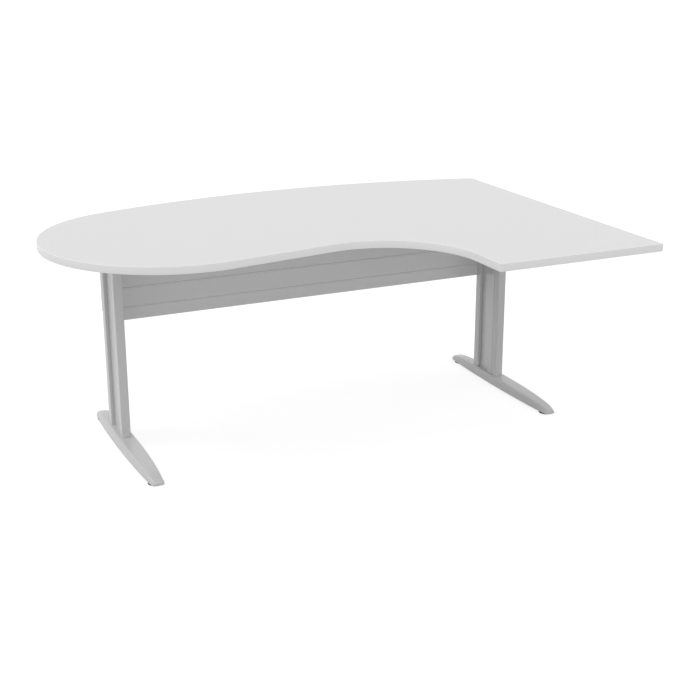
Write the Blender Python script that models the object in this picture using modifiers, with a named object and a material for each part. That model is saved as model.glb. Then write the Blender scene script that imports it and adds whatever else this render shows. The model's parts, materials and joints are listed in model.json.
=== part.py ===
"""Compact office desk: a rounded worktop with a return at the right, on two T-shaped steel legs.

Metres, +Z up. The origin is on the floor, under the middle of the worktop's bounding box.
+X runs along the worktop towards the return, and the user sits on the -Y side.
"""

import math

import bmesh
import bpy
from mathutils import Matrix

# Fits
GAP = 0.0003  # between two pieces that touch
OVERRUN = 0.004  # how far a cutter runs past the face that it cuts
HOLE_PLAY = 0.0005  # a hole's radius over the radius of the fastener in it
WELD_DEPTH = 0.0007  # how far a welded stud reaches into its sheet

# Worktop
DESK_HEIGHT = 0.720
TOP_THICKNESS = 0.025
TOP_LENGTH = 1.800
RETURN_DEPTH = 1.200  # the straight right-hand edge
RETURN_WIDTH = 0.600  # the return's front edge
RETURN_STRAIGHT = 0.140  # straight side of the return, before the inner curve
INNER_RADIUS = 0.300
INNER_TURN = math.radians(99.5)
END_RADIUS = 0.424
BACK_RADIUS = 2.530
BAND_THICKNESS = 0.002

# Columns
LEFT_LEG_INSET = 0.2433  # from the worktop's left end to the middle of the left leg
RIGHT_LEG_INSET = 0.0934
COLUMN_FROM_FRONT = 0.8788  # from the return's front edge to the middle of the columns
COLUMN_DEPTH = 0.1646
POST_WIDTH = 0.030
POST_DEPTH = 0.0315
POST_CORNER_RADIUS = 0.002
POST_WALL = 0.0018
WEB_SHEET = 0.0015
WEB_REAR_WIDTH = 0.005  # where the wedge between the posts meets the rear post

# Feet
FOOT_LENGTH = 0.6892
FOOT_WIDTH = 0.0694  # across its rim, at the middle and towards the ends
FOOT_END_WIDTH = 0.0474
FOOT_CROWN_WIDTH = 0.0596  # across its top, at the middle and towards the ends
FOOT_CROWN_END_WIDTH = 0.0340
FOOT_RIM_HEIGHT = 0.0048
FOOT_TOP_HEIGHT = 0.0335
FOOT_WALL = 0.0025
FOOT_FORWARD = 0.0959  # from the middle of the column to the middle of the foot
PLAN_POWER = 12.0
SECTION_POWER = 7.3
FRONT_POWER = 3.0
REAR_POWER = 3.4
FOOT_REACH_SHARE = 0.9985  # the last section of the loft, as a share of the half length

# Levelling glides
GLIDE_FRONT_INSET = 0.0296  # from the foot's end to the middle of the glide
GLIDE_REAR_INSET = 0.0462
GLIDE_RADIUS = 0.026
GLIDE_CHAMFER = 0.001
GLIDE_HUB_RADIUS = 0.010
GLIDE_HUB_HEIGHT = 0.0080
GLIDE_FLOOR = 0.0030  # thickness of the pad under its stem
STEM_RADIUS = 0.004
STEM_TOP_HEIGHT = 0.0160
SOCKET_RADIUS = 0.009

# Fixing of the columns to the feet
INSERT_HEIGHT = 0.030
INSERT_LIFT = 0.001  # from the foot's crown to the insert
FOOT_BOLT_RADIUS = 0.004
FOOT_BOLT_HEAD_RADIUS = 0.0065
FOOT_BOLT_HEAD_HEIGHT = 0.005
FOOT_BOLT_REACH = 0.026  # from the foot's crown to the bolt's tip

# Support arms
ARM_FRONT_REACH = 0.330  # from the middle of the column
ARM_REAR_REACH = 0.240
ARM_DEPTH = 0.030
ARM_END_DEPTH = 0.012
ARM_TAPER_LENGTH = 0.100
ARM_WALL = 0.0025

# Cross rails
RAIL_OFFSET = 0.135  # from the middle of the columns, to the front and to the rear
RAIL_WIDTH = 0.040
RAIL_HEIGHT = 0.025
RAIL_WALL = 0.002
RAIL_END_WALL = 0.006
RAIL_BOLT_RADIUS = 0.004
RAIL_BOLT_HEAD_RADIUS = 0.0065
RAIL_BOLT_HEAD_HEIGHT = 0.005
RAIL_BOLT_LENGTH = 0.018

# Screws into the worktop
TOP_SCREW_RADIUS = 0.0021
TOP_SCREW_HEAD_RADIUS = 0.0050
TOP_SCREW_HEAD_HEIGHT = 0.0024
TOP_SCREW_BITE = 0.015
TOP_SCREW_END_INSET = 0.025  # from the arm's end
TOP_SCREW_INNER_INSET = 0.150

# Modesty panel
PANEL_DROP = 0.005  # from the worktop's underside to the panel's upper edge
PANEL_HEIGHT = 0.296
PANEL_SHEET = 0.0015
PANEL_LIP = 0.015
PANEL_BEND_RADIUS = 0.002
BEAD_COUNT = 4
BEAD_SPACING = 0.069
BEAD_WIDTH = 0.008
BEAD_HEIGHT = 0.0025

# Straps that carry the panel
STRAP_THICKNESS = 0.003
STRAP_OVERLAP = 0.040  # behind the panel
STRAP_MARGIN = 0.040  # from the panel's upper and lower edge
STRAP_CORNER_RADIUS = 0.004
STUD_INSET = 0.020  # from the panel's end
STUD_RADIUS = 0.0025
STUD_TIP = 0.0015  # past the nut
NUT_HEIGHT = 0.004
NUT_RADIUS = 0.0046
STRAP_SCREW_RADIUS = 0.0025
STRAP_SCREW_HEAD_RADIUS = 0.0045
STRAP_SCREW_HEAD_HEIGHT = 0.0026
STRAP_SCREW_TIP = 0.003  # past the post's wall

# Fineness of the round shapes
INNER_STEPS = 14
END_STEPS = 26
BACK_STEPS = 16
ROUND_STEPS = 24
SMALL_STEPS = 16
CORNER_STEPS = 3
FOOT_STATIONS = 31
FOOT_ARCH_STEPS = 18

# Places worked out from the sizes above
TOP_UNDERSIDE = DESK_HEIGHT - TOP_THICKNESS
LEFT_LEG_X = LEFT_LEG_INSET - TOP_LENGTH / 2
RIGHT_LEG_X = TOP_LENGTH / 2 - RIGHT_LEG_INSET
ARM_TOP = TOP_UNDERSIDE - GAP
ARM_INNER_WIDTH = POST_WIDTH + 2 * GAP
ARM_WIDTH = ARM_INNER_WIDTH + 2 * ARM_WALL
ARM_WEB_UNDERSIDE = ARM_TOP - ARM_WALL
POST_TOP = ARM_WEB_UNDERSIDE - GAP
RAIL_TOP = TOP_UNDERSIDE - GAP
PANEL_TOP = TOP_UNDERSIDE - PANEL_DROP
PANEL_BOTTOM = PANEL_TOP - PANEL_HEIGHT

# Orientation of outlines drawn in the side view (Y, Z) and in the rear view (X, Z)
SIDE_VIEW = Matrix(((0, 0, 1, 0), (1, 0, 0, 0), (0, 1, 0, 0), (0, 0, 0, 1)))
FRONT_VIEW = Matrix(((1, 0, 0, 0), (0, 0, -1, 0), (0, 1, 0, 0), (0, 0, 0, 1)))


def clear_scene():
    for obj in list(bpy.data.objects):
        bpy.data.objects.remove(obj, do_unlink=True)


def new_collection(name):
    collection = bpy.data.collections.new(name)
    bpy.context.scene.collection.children.link(collection)
    return collection


def new_material(name, colour, roughness, metallic):
    material = bpy.data.materials.new(name)
    material.use_nodes = True
    shader = material.node_tree.nodes["Principled BSDF"]
    shader.inputs["Base Color"].default_value = (*colour, 1.0)
    shader.inputs["Roughness"].default_value = roughness
    shader.inputs["Metallic"].default_value = metallic
    return material


clear_scene()
DESK = new_collection("compact_office_desk")
CUTTERS = new_collection("cutters")

# Look of each kind of piece
LAMINATE = new_material("laminate", (0.74, 0.74, 0.74), 0.5, 0.0)
BAND = new_material("edge_plastic", (0.66, 0.66, 0.67), 0.45, 0.0)
PAINT = new_material("silver_paint", (0.43, 0.43, 0.44), 0.42, 0.2)
STEEL = new_material("zinc_plated_steel", (0.60, 0.60, 0.58), 0.35, 1.0)
BLACK = new_material("black_plastic", (0.02, 0.02, 0.02), 0.5, 0.0)


# Making objects


def place(obj, material, collection=DESK):
    """Move an object into its collection and give it its material."""
    for owner in list(obj.users_collection):
        owner.objects.unlink(obj)
    collection.objects.link(obj)
    obj.data.materials.clear()
    if material:
        obj.data.materials.append(material)
    if collection is CUTTERS:
        obj.hide_render = True
        obj.display_type = "WIRE"
    return obj


def smooth(obj, angle=math.radians(35)):
    obj.data.shade_smooth()
    obj.data.set_sharp_from_angle(angle=angle)
    return obj


def mesh_object(name, bm, material, collection=DESK):
    """Turn a bmesh, whose faces are made to point out, into an object."""
    bmesh.ops.recalc_face_normals(bm, faces=bm.faces)
    mesh = bpy.data.meshes.new(name)
    bm.to_mesh(mesh)
    bm.free()
    return smooth(place(bpy.data.objects.new(name, mesh), material, collection))


def outline(name, loops, thickness, matrix, material, filled=True, collection=DESK):
    """A flat outline, with any holes as further loops, made solid about its own plane."""
    curve = bpy.data.curves.new(name, "CURVE")
    curve.dimensions = "2D"
    curve.fill_mode = "BOTH" if filled else "NONE"
    curve.extrude = thickness / 2
    for loop in loops:
        spline = curve.splines.new("POLY")
        spline.points.add(len(loop) - 1)
        for point, (x, y) in zip(spline.points, loop):
            point.co = (x, y, 0, 1)
        spline.use_cyclic_u = filled
    flat = bpy.data.objects.new(name + "_outline", curve)
    flat.matrix_world = matrix
    bpy.context.scene.collection.objects.link(flat)
    return to_mesh(flat, name, material, collection)


def to_mesh(flat, name, material, collection):
    """The mesh of a curve object, welded, in the curve's place."""
    bpy.context.view_layer.update()
    evaluated = flat.evaluated_get(bpy.context.evaluated_depsgraph_get())
    mesh = bpy.data.meshes.new_from_object(evaluated)
    bm = bmesh.new()
    bm.from_mesh(mesh)
    bmesh.ops.remove_doubles(bm, verts=bm.verts, dist=GAP / 100)
    bm.to_mesh(mesh)
    bm.free()
    mesh.name = name
    made = bpy.data.objects.new(name, mesh)
    made.matrix_world = flat.matrix_world
    bpy.data.objects.remove(flat, do_unlink=True)
    return smooth(place(made, material, collection))


def box(name, low, high, material, collection=DESK):
    bm = bmesh.new()
    bmesh.ops.create_cube(bm, size=1)
    size = [b - a for a, b in zip(low, high)]
    middle = [(a + b) / 2 for a, b in zip(low, high)]
    bmesh.ops.scale(bm, vec=size, verts=bm.verts)
    made = mesh_object(name, bm, material, collection)
    made.location = middle
    return made


def cylinder(name, radius, start, end, material=None, sides=SMALL_STEPS, collection=CUTTERS):
    """A round bar along X, Y or Z, from one point to the other."""
    axis = [b - a for a, b in zip(start, end)]
    length = math.hypot(*axis)
    turn = Matrix.Identity(4)
    if axis[0]:
        turn = Matrix.Rotation(math.radians(90), 4, "Y")
    elif axis[1]:
        turn = Matrix.Rotation(math.radians(90), 4, "X")
    bm = bmesh.new()
    bmesh.ops.create_cone(
        bm, cap_ends=True, segments=sides, radius1=radius, radius2=radius, depth=length
    )
    bmesh.ops.transform(bm, matrix=turn, verts=bm.verts)
    made = mesh_object(name, bm, material, collection)
    made.location = [(a + b) / 2 for a, b in zip(start, end)]
    return made


def turned(name, profile, material, place_at, direction="+Z", steps=SMALL_STEPS):
    """A turned piece. Its profile of (radius, height) runs down its outer side."""
    mesh = bpy.data.meshes.new(name)
    edges = [(i, i + 1) for i in range(len(profile) - 1)]
    mesh.from_pydata([(r, 0, h) for r, h in profile], edges, [])
    made = place(bpy.data.objects.new(name, mesh), material)
    screw = made.modifiers.new("turn", "SCREW")
    screw.angle = math.tau
    screw.steps = steps
    screw.render_steps = steps
    screw.use_merge_vertices = True
    screw.merge_threshold = GAP / 10
    screw.use_smooth_shade = True
    turns = {
        "+Z": Matrix.Identity(3),
        "+X": Matrix.Rotation(math.radians(90), 3, "Y"),
        "-X": Matrix.Rotation(math.radians(-90), 3, "Y"),
        "+Y": Matrix.Rotation(math.radians(-90), 3, "X"),
        "-Y": Matrix.Rotation(math.radians(90), 3, "X"),
    }
    made.rotation_euler = turns[direction].to_euler()
    made.location = place_at
    return made


def bolt_profile(head_radius, head_height, radius, length):
    """A bolt that points up its own axis, with the underside of its head at height zero."""
    return [
        (0, length),
        (radius, length),
        (radius, 0),
        (head_radius, 0),
        (head_radius, -head_height),
        (0, -head_height),
    ]


def combine(obj, other, operation):
    modifier = obj.modifiers.new(operation.lower(), "BOOLEAN")
    modifier.operation = operation
    modifier.solver = "EXACT"
    modifier.object = other
    return obj


def cut(obj, cutter):
    return combine(obj, cutter, "DIFFERENCE")


# Outlines


def arc(centre, radius, start, end, steps):
    points = []
    for i in range(steps + 1):
        angle = start + (end - start) * i / steps
        points.append((centre[0] + radius * math.cos(angle), centre[1] + radius * math.sin(angle)))
    return points


def circle(centre, radius, steps=SMALL_STEPS):
    return arc(centre, radius, 0, math.tau, steps)[:-1]


def rounded_rectangle(low, high, radius):
    corners = [
        ((high[0] - radius, low[1] + radius), -90),
        ((high[0] - radius, high[1] - radius), 0),
        ((low[0] + radius, high[1] - radius), 90),
        ((low[0] + radius, low[1] + radius), 180),
    ]
    points = []
    for centre, start in corners:
        points += arc(
            centre, radius, math.radians(start), math.radians(start + 90), CORNER_STEPS
        )
    return points


def top_centres():
    """Centres of the worktop's three curves, measured from the return's front edge."""
    inner = (TOP_LENGTH / 2 - RETURN_WIDTH - INNER_RADIUS, RETURN_STRAIGHT)
    toe = arc(inner, INNER_RADIUS, INNER_TURN, INNER_TURN, 1)[0]
    heading = (-math.sin(INNER_TURN), math.cos(INNER_TURN))
    across = (heading[1], -heading[0])
    end_x = END_RADIUS - TOP_LENGTH / 2
    run = (end_x - toe[0] - END_RADIUS * across[0]) / heading[0]
    end = (end_x, toe[1] + run * heading[1] + END_RADIUS * across[1])
    corner = (TOP_LENGTH / 2, RETURN_DEPTH)
    spread = math.dist(end, corner)
    nearness = BACK_RADIUS - END_RADIUS
    along = (nearness**2 - BACK_RADIUS**2 + spread**2) / (2 * spread)
    aside = math.sqrt(nearness**2 - along**2)
    unit = ((corner[0] - end[0]) / spread, (corner[1] - end[1]) / spread)
    back = (
        end[0] + along * unit[0] + aside * unit[1],
        end[1] + along * unit[1] - aside * unit[0],
    )
    return inner, end, back


def top_loop(inset):
    """The worktop's outline, drawn in by the inset, from the return's inner front corner."""
    inner, end, back = top_centres()
    right = TOP_LENGTH / 2 - inset
    inner_x = TOP_LENGTH / 2 - RETURN_WIDTH + inset
    lead = math.atan2(end[1] - back[1], end[0] - back[0])
    back_radius = BACK_RADIUS - inset
    corner_angle = math.acos((right - back[0]) / back_radius)
    points = [(inner_x, inset)]
    points += arc(inner, INNER_RADIUS + inset, 0, INNER_TURN, INNER_STEPS)
    points += arc(end, END_RADIUS - inset, INNER_TURN + math.pi, lead, END_STEPS)
    points += arc(back, back_radius, lead, corner_angle, BACK_STEPS)[1:]
    points.append((right, inset))
    front = -top_depth() / 2
    return [(x, y + front) for x, y in points]


def top_depth():
    """Front to back over the whole worktop."""
    back = top_centres()[2]
    return back[1] + BACK_RADIUS


COLUMN_Y = COLUMN_FROM_FRONT - top_depth() / 2
COLUMN_FRONT = COLUMN_Y - COLUMN_DEPTH / 2
COLUMN_REAR = COLUMN_Y + COLUMN_DEPTH / 2
FOOT_Y = COLUMN_Y - FOOT_FORWARD
GLIDE_FRONT_Y = FOOT_Y - FOOT_LENGTH / 2 + GLIDE_FRONT_INSET
GLIDE_REAR_Y = FOOT_Y + FOOT_LENGTH / 2 - GLIDE_REAR_INSET
FRONT_BOLT_Y = COLUMN_FRONT + POST_DEPTH / 2
REAR_BOLT_Y = COLUMN_REAR - POST_DEPTH / 2
ARM_FRONT = COLUMN_Y - ARM_FRONT_REACH
ARM_REAR = COLUMN_Y + ARM_REAR_REACH
STRAP_FRONT = COLUMN_REAR + GAP
PANEL_FRONT = STRAP_FRONT - GAP - PANEL_SHEET
LEGS = (("left", LEFT_LEG_X, 1), ("right", RIGHT_LEG_X, -1))


# Worktop


def top_screw_places():
    """Along the arm: one screw near each end and two nearer the column."""
    return (
        ARM_FRONT + TOP_SCREW_END_INSET,
        ARM_FRONT + TOP_SCREW_INNER_INSET,
        ARM_REAR - TOP_SCREW_INNER_INSET + RAIL_WIDTH,
        ARM_REAR - TOP_SCREW_END_INSET,
    )


def make_worktop():
    level = Matrix.Translation((0, 0, DESK_HEIGHT - TOP_THICKNESS / 2))
    band_loops = [top_loop(0), top_loop(BAND_THICKNESS)]
    outline("worktop_edge_band", band_loops, TOP_THICKNESS, level, BAND)
    core = outline(
        "worktop_core", [top_loop(BAND_THICKNESS + GAP)], TOP_THICKNESS, level, LAMINATE
    )
    depth = TOP_SCREW_BITE + GAP
    for side, leg_x, _ in LEGS:
        for i, y in enumerate(top_screw_places()):
            pilot = cylinder(
                f"{side}_top_pilot_{i + 1}",
                TOP_SCREW_RADIUS + HOLE_PLAY,
                (leg_x, y, TOP_UNDERSIDE - OVERRUN),
                (leg_x, y, TOP_UNDERSIDE + depth),
            )
            cut(core, pilot)


# Feet


def foot_profile(share):
    """Height of the foot's crown along its length, as a share of its full height."""
    power = FRONT_POWER if share < 0 else REAR_POWER
    return (1 - abs(share) ** power) ** (1 / power)


def foot_crown(y, margin=0):
    """Height of the crown over a place along the foot, on a foot grown by the margin."""
    share = (y - FOOT_Y) / (FOOT_LENGTH / 2 + margin)
    return FOOT_RIM_HEIGHT + (FOOT_TOP_HEIGHT - FOOT_RIM_HEIGHT + margin) * foot_profile(share)


def foot_width(middle, end, share):
    return middle - (middle - end) * share**2


def foot_section(x, share, margin, skirt):
    """An arch across the foot, narrower at its top and closed below the rim by its skirt."""
    blunt = (1 - abs(share) ** PLAN_POWER) ** (1 / PLAN_POWER)
    half_width = foot_width(FOOT_WIDTH, FOOT_END_WIDTH, share) / 2 * blunt + margin
    half_crown = foot_width(FOOT_CROWN_WIDTH, FOOT_CROWN_END_WIDTH, share) / 2 * blunt + margin
    rise = (FOOT_TOP_HEIGHT - FOOT_RIM_HEIGHT + margin) * foot_profile(share)
    y = FOOT_Y + (FOOT_LENGTH / 2 + margin) * share
    ring = [(x + half_width, y, FOOT_RIM_HEIGHT - skirt)] if skirt else []
    for i in range(FOOT_ARCH_STEPS + 1):
        angle = math.pi * i / FOOT_ARCH_STEPS
        reach = math.copysign(abs(math.cos(angle)) ** (2 / SECTION_POWER), math.cos(angle))
        height = max(math.sin(angle), 0) ** (2 / SECTION_POWER)
        half = half_width - (half_width - half_crown) * height
        ring.append((x + half * reach, y, FOOT_RIM_HEIGHT + rise * height))
    if skirt:
        ring.append((x - half_width, y, FOOT_RIM_HEIGHT - skirt))
    return ring


def foot_loft(name, x, margin, skirt, material=None, collection=CUTTERS):
    """The foot's domed form, grown or shrunk by the margin."""
    bm = bmesh.new()
    rings = []
    for i in range(FOOT_STATIONS):
        spread = math.pi * (i / (FOOT_STATIONS - 1) - 1 / 2)
        share = FOOT_REACH_SHARE * math.sin(spread)
        ring = [bm.verts.new(point) for point in foot_section(x, share, margin, skirt)]
        rings.append(ring)
    for ring, following in zip(rings, rings[1:]):
        for i in range(len(ring)):
            j = (i + 1) % len(ring)
            bm.faces.new((ring[i], ring[j], following[j], following[i]))
    bm.faces.new(rings[0])
    bm.faces.new(rings[-1])
    return mesh_object(name, bm, material, collection)


def make_foot(side, x):
    foot = foot_loft(f"{side}_foot", x, 0, 0, PAINT, DESK)
    cut(foot, foot_loft(f"{side}_foot_hollow", x, -FOOT_WALL, OVERRUN))
    for end, y in (("front", FRONT_BOLT_Y), ("rear", REAR_BOLT_Y)):
        hole = cylinder(
            f"{side}_{end}_foot_hole",
            FOOT_BOLT_RADIUS + HOLE_PLAY,
            (x, y, FOOT_TOP_HEIGHT - FOOT_WALL - OVERRUN),
            (x, y, FOOT_TOP_HEIGHT + OVERRUN),
        )
        cut(foot, hole)


def make_foot_bolt(side, end, x, y):
    """The insert in the post's lower end, and the bolt that draws the foot up to it."""
    half_width = POST_WIDTH / 2 - POST_WALL - GAP
    half_depth = POST_DEPTH / 2 - POST_WALL - GAP
    low = FOOT_TOP_HEIGHT + INSERT_LIFT
    insert = box(
        f"{side}_{end}_post_insert",
        (x - half_width, y - half_depth, low),
        (x + half_width, y + half_depth, low + INSERT_HEIGHT),
        STEEL,
    )
    thread = cylinder(
        f"{side}_{end}_insert_thread",
        FOOT_BOLT_RADIUS + HOLE_PLAY,
        (x, y, low - OVERRUN),
        (x, y, low + INSERT_HEIGHT + OVERRUN),
    )
    cut(insert, thread)
    edge = FOOT_BOLT_HEAD_RADIUS
    ceiling = min(foot_crown(y - edge, -FOOT_WALL), foot_crown(y + edge, -FOOT_WALL))
    seat = ceiling - GAP
    profile = bolt_profile(
        FOOT_BOLT_HEAD_RADIUS,
        FOOT_BOLT_HEAD_HEIGHT,
        FOOT_BOLT_RADIUS,
        FOOT_TOP_HEIGHT + FOOT_BOLT_REACH - seat,
    )
    turned(f"{side}_{end}_foot_bolt", profile, STEEL, (x, y, seat))


def make_glide(side, end, x, y):
    """A levelling glide: pad, stem and the threaded socket inside the foot."""
    pad_top = FOOT_RIM_HEIGHT - GAP
    bore = STEM_RADIUS + HOLE_PLAY
    pad = [
        (0, GLIDE_FLOOR),
        (bore, GLIDE_FLOOR),
        (bore, GLIDE_HUB_HEIGHT),
        (GLIDE_HUB_RADIUS, GLIDE_HUB_HEIGHT),
        (GLIDE_HUB_RADIUS, pad_top),
        (GLIDE_RADIUS - GLIDE_CHAMFER, pad_top),
        (GLIDE_RADIUS, pad_top - GLIDE_CHAMFER),
        (GLIDE_RADIUS, GLIDE_CHAMFER),
        (GLIDE_RADIUS - GLIDE_CHAMFER, 0),
        (0, 0),
    ]
    turned(f"{side}_{end}_glide_pad", pad, BLACK, (x, y, 0), steps=ROUND_STEPS)
    stem_foot = GLIDE_FLOOR + GAP
    stem_length = STEM_TOP_HEIGHT - stem_foot
    stem = [(0, stem_length), (STEM_RADIUS, stem_length), (STEM_RADIUS, 0), (0, 0)]
    turned(f"{side}_{end}_glide_stem", stem, STEEL, (x, y, stem_foot))
    low = GLIDE_HUB_HEIGHT + GAP
    socket = cylinder(
        f"{side}_{end}_glide_socket",
        SOCKET_RADIUS,
        (x, y, low),
        (x, y, FOOT_TOP_HEIGHT),
        STEEL,
        collection=DESK,
    )
    seat = foot_loft(f"{side}_{end}_socket_seat", x, -FOOT_WALL - GAP, OVERRUN)
    combine(socket, seat, "INTERSECT")
    thread = cylinder(
        f"{side}_{end}_socket_thread",
        STEM_RADIUS + HOLE_PLAY,
        (x, y, low - OVERRUN),
        (x, y, FOOT_TOP_HEIGHT + OVERRUN),
    )
    cut(socket, thread)


# Columns


def post_loops():
    """Section of a post, a square tube with rounded edges."""
    half_width = POST_WIDTH / 2
    half_depth = POST_DEPTH / 2
    radius = POST_CORNER_RADIUS
    quarter = math.pi / 2
    corners = (
        (half_width - radius, radius - half_depth),
        (half_width - radius, half_depth - radius),
        (radius - half_width, half_depth - radius),
        (radius - half_width, radius - half_depth),
    )
    outer = []
    for i, corner in enumerate(corners):
        outer += arc(corner, radius, (i - 1) * quarter, i * quarter, CORNER_STEPS)
    inner_width = half_width - POST_WALL
    inner_depth = half_depth - POST_WALL
    hollow = [
        (inner_width, -inner_depth),
        (inner_width, inner_depth),
        (-inner_width, inner_depth),
        (-inner_width, -inner_depth),
    ]
    return [outer, hollow]


def web_loop(front, rear):
    """Section of the web: folded sheet, as wide as the front post and narrow at the rear one."""
    half_front = POST_WIDTH / 2
    half_rear = WEB_REAR_WIDTH / 2
    fold = rear - WEB_SHEET
    half_fold = half_rear + (half_front - half_rear) * WEB_SHEET / (rear - front) - WEB_SHEET
    return [
        (half_front, front),
        (half_rear, rear),
        (-half_rear, rear),
        (-half_front, front),
        (WEB_SHEET - half_front, front),
        (-half_fold, fold),
        (half_fold, fold),
        (half_front - WEB_SHEET, front),
    ]


def make_column(side, x):
    """Two posts and the web between them, seated on the foot's domed top."""
    low = foot_crown(COLUMN_REAR) - GAP
    height = POST_TOP - low
    level = low + height / 2
    seat = foot_loft(f"{side}_column_seat", x, GAP, 0)
    for end, y in (("front", FRONT_BOLT_Y), ("rear", REAR_BOLT_Y)):
        place = Matrix.Translation((x, y, level))
        post = outline(f"{side}_{end}_post", post_loops(), height, place, PAINT)
        cut(post, seat)
        if end == "rear":
            for i, z in enumerate(strap_screw_heights()):
                hole = cylinder(
                    f"{side}_post_hole_{i + 1}",
                    STRAP_SCREW_RADIUS + HOLE_PLAY,
                    (x, COLUMN_REAR - POST_WALL - OVERRUN, z),
                    (x, COLUMN_REAR + OVERRUN, z),
                )
                cut(post, hole)
    section = web_loop(COLUMN_FRONT + POST_DEPTH + GAP, COLUMN_REAR - POST_DEPTH - GAP)
    place = Matrix.Translation((x, 0, level))
    web = outline(f"{side}_column_web", [section], height, place, PAINT)
    cut(web, seat)


# Parts under the worktop


def make_arm(side, x, inward):
    """A folded channel over the posts' upper ends, its flanges tapered to both ends."""
    profile = [
        (ARM_FRONT, ARM_TOP),
        (ARM_FRONT, ARM_TOP - ARM_END_DEPTH),
        (ARM_FRONT + ARM_TAPER_LENGTH, ARM_TOP - ARM_DEPTH),
        (ARM_REAR - ARM_TAPER_LENGTH, ARM_TOP - ARM_DEPTH),
        (ARM_REAR, ARM_TOP - ARM_END_DEPTH),
        (ARM_REAR, ARM_TOP),
    ]
    arm = outline(
        f"{side}_support_arm", [profile], ARM_WIDTH, Matrix.Translation((x, 0, 0)) @ SIDE_VIEW, PAINT
    )
    channel = box(
        f"{side}_arm_channel",
        (x - ARM_INNER_WIDTH / 2, ARM_FRONT - OVERRUN, ARM_TOP - ARM_DEPTH - OVERRUN),
        (x + ARM_INNER_WIDTH / 2, ARM_REAR + OVERRUN, ARM_WEB_UNDERSIDE),
        None,
        CUTTERS,
    )
    cut(arm, channel)
    for i, y in enumerate(top_screw_places()):
        hole = cylinder(
            f"{side}_arm_hole_{i + 1}",
            TOP_SCREW_RADIUS + HOLE_PLAY,
            (x, y, ARM_WEB_UNDERSIDE - OVERRUN),
            (x, y, ARM_TOP + OVERRUN),
        )
        cut(arm, hole)
        profile = bolt_profile(
            TOP_SCREW_HEAD_RADIUS,
            TOP_SCREW_HEAD_HEIGHT,
            TOP_SCREW_RADIUS,
            TOP_UNDERSIDE + TOP_SCREW_BITE - ARM_WEB_UNDERSIDE + GAP,
        )
        turned(f"{side}_worktop_screw_{i + 1}", profile, STEEL, (x, y, ARM_WEB_UNDERSIDE - GAP))
    flange = x + inward * (ARM_INNER_WIDTH / 2 + ARM_WALL / 2)
    for end, y in rail_places():
        hole = cylinder(
            f"{side}_{end}_flange_hole",
            RAIL_BOLT_RADIUS + HOLE_PLAY,
            (flange - ARM_WALL / 2 - OVERRUN, y, rail_bolt_height()),
            (flange + ARM_WALL / 2 + OVERRUN, y, rail_bolt_height()),
        )
        cut(arm, hole)


def rail_places():
    return (("front", COLUMN_Y - RAIL_OFFSET), ("rear", COLUMN_Y + RAIL_OFFSET))


def rail_bolt_height():
    return RAIL_TOP - RAIL_HEIGHT / 2


def make_rail(end, y):
    """A rectangular tube between the two arms, with end walls that its bolts screw into."""
    left = LEFT_LEG_X + ARM_WIDTH / 2 + GAP
    right = RIGHT_LEG_X - ARM_WIDTH / 2 - GAP
    half = RAIL_WIDTH / 2
    bottom = RAIL_TOP - RAIL_HEIGHT
    rail = box(f"{end}_cross_rail", (left, y - half, bottom), (right, y + half, RAIL_TOP), PAINT)
    hollow = box(
        f"{end}_rail_hollow",
        (left + RAIL_END_WALL, y - half + RAIL_WALL, bottom + RAIL_WALL),
        (right - RAIL_END_WALL, y + half - RAIL_WALL, RAIL_TOP - RAIL_WALL),
        None,
        CUTTERS,
    )
    cut(rail, hollow)
    z = rail_bolt_height()
    profile = bolt_profile(
        RAIL_BOLT_HEAD_RADIUS, RAIL_BOLT_HEAD_HEIGHT, RAIL_BOLT_RADIUS, RAIL_BOLT_LENGTH
    )
    for side, x, inward in LEGS:
        face = x + inward * (ARM_WIDTH / 2 + GAP)
        thread = cylinder(
            f"{end}_{side}_rail_thread",
            RAIL_BOLT_RADIUS + HOLE_PLAY,
            (face - inward * OVERRUN, y, z),
            (face + inward * (RAIL_END_WALL + OVERRUN), y, z),
        )
        cut(rail, thread)
        head_face = x + inward * (ARM_INNER_WIDTH / 2 - GAP)
        direction = "+X" if inward > 0 else "-X"
        turned(f"{end}_rail_bolt_{side}", profile, STEEL, (head_face, y, z), direction)


# Modesty panel


def bead_heights():
    spread = BEAD_SPACING * (BEAD_COUNT - 1)
    first = PANEL_BOTTOM + (PANEL_HEIGHT - spread) / 2
    return [first + BEAD_SPACING * i for i in range(BEAD_COUNT)]


def stud_heights():
    beads = bead_heights()
    return ((beads[0] + beads[1]) / 2, (beads[-2] + beads[-1]) / 2)


def strap_screw_heights():
    return stud_heights()


def panel_path():
    """Side view of the sheet: folded lips at the bottom and top, and rounded beads."""
    radius = PANEL_BEND_RADIUS
    bend_y = PANEL_FRONT + radius
    quarter = math.pi / 2
    path = [(PANEL_FRONT + PANEL_LIP, PANEL_BOTTOM)]
    lower = (bend_y, PANEL_BOTTOM + radius)
    path += arc(lower, radius, 3 * quarter, math.pi, CORNER_STEPS)
    steps = 2 * CORNER_STEPS
    for z in bead_heights():
        for i in range(steps + 1):
            share = i / steps
            height = BEAD_HEIGHT * math.sin(math.pi * share) ** 2
            path.append((PANEL_FRONT - height, z + BEAD_WIDTH * (share - 1 / 2)))
    upper = (bend_y, PANEL_TOP - radius)
    path += arc(upper, radius, math.pi, quarter, CORNER_STEPS)
    path.append((PANEL_FRONT + PANEL_LIP, PANEL_TOP))
    return path


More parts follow.
